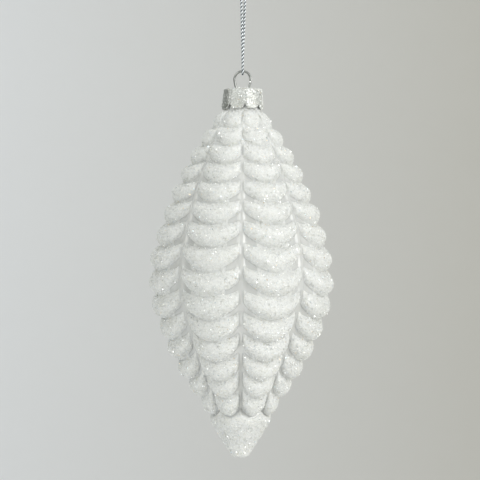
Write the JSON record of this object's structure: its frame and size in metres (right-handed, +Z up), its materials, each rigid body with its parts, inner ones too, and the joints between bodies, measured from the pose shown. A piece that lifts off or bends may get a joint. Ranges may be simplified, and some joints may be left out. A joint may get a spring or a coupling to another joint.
{
  "type": "icicle hanging ornament",
  "caption": "Blown glass icicle ornament with swagged lobes, a crown cap, a sprung wire ring and a thread loop.",
  "frame": {"origin": "hanging point: the hook's rod between the two runs of thread, under the knot", "axes": "+Z up along the ornament; +X along the plane of the ring; -Y faces the viewer, at a groove of the glass"},
  "size_m": [0.0706, 0.0706, 0.203],
  "materials": {
    "silver_thread": "metallic braid",
    "wire": "tinned wire",
    "cap_metal": "bright, glittered",
    "frosted_glass": "pearl white, glitter on the lobes"
  },
  "bodies": {
    "thread": {"hanging_cord": "silver_thread", "cord_knot": "silver_thread"},
    "hanger": {"hanger_wire": "wire"},
    "cap": {"crown_cap": "cap_metal"},
    "glass": {"glass_body": "frosted_glass"}
  },
  "joints": [
    {"name": "ring_swing", "type": "hinge", "parent": "thread", "child": "hanger", "pos_m": [0, 0, -0.045], "axis": [1, 0, 0], "range_deg": [-75, 75]},
    {"name": "ring_lift", "type": "slide", "parent": "hanger", "child": "cap", "axis": [0, 0, -1], "range_m": [0, 0.008]},
    {"name": "glass_turn", "type": "hinge", "parent": "cap", "child": "glass", "pos_m": [0, 0, -0.05205], "axis": [0, 0, 1], "continuous": true}
  ]
}
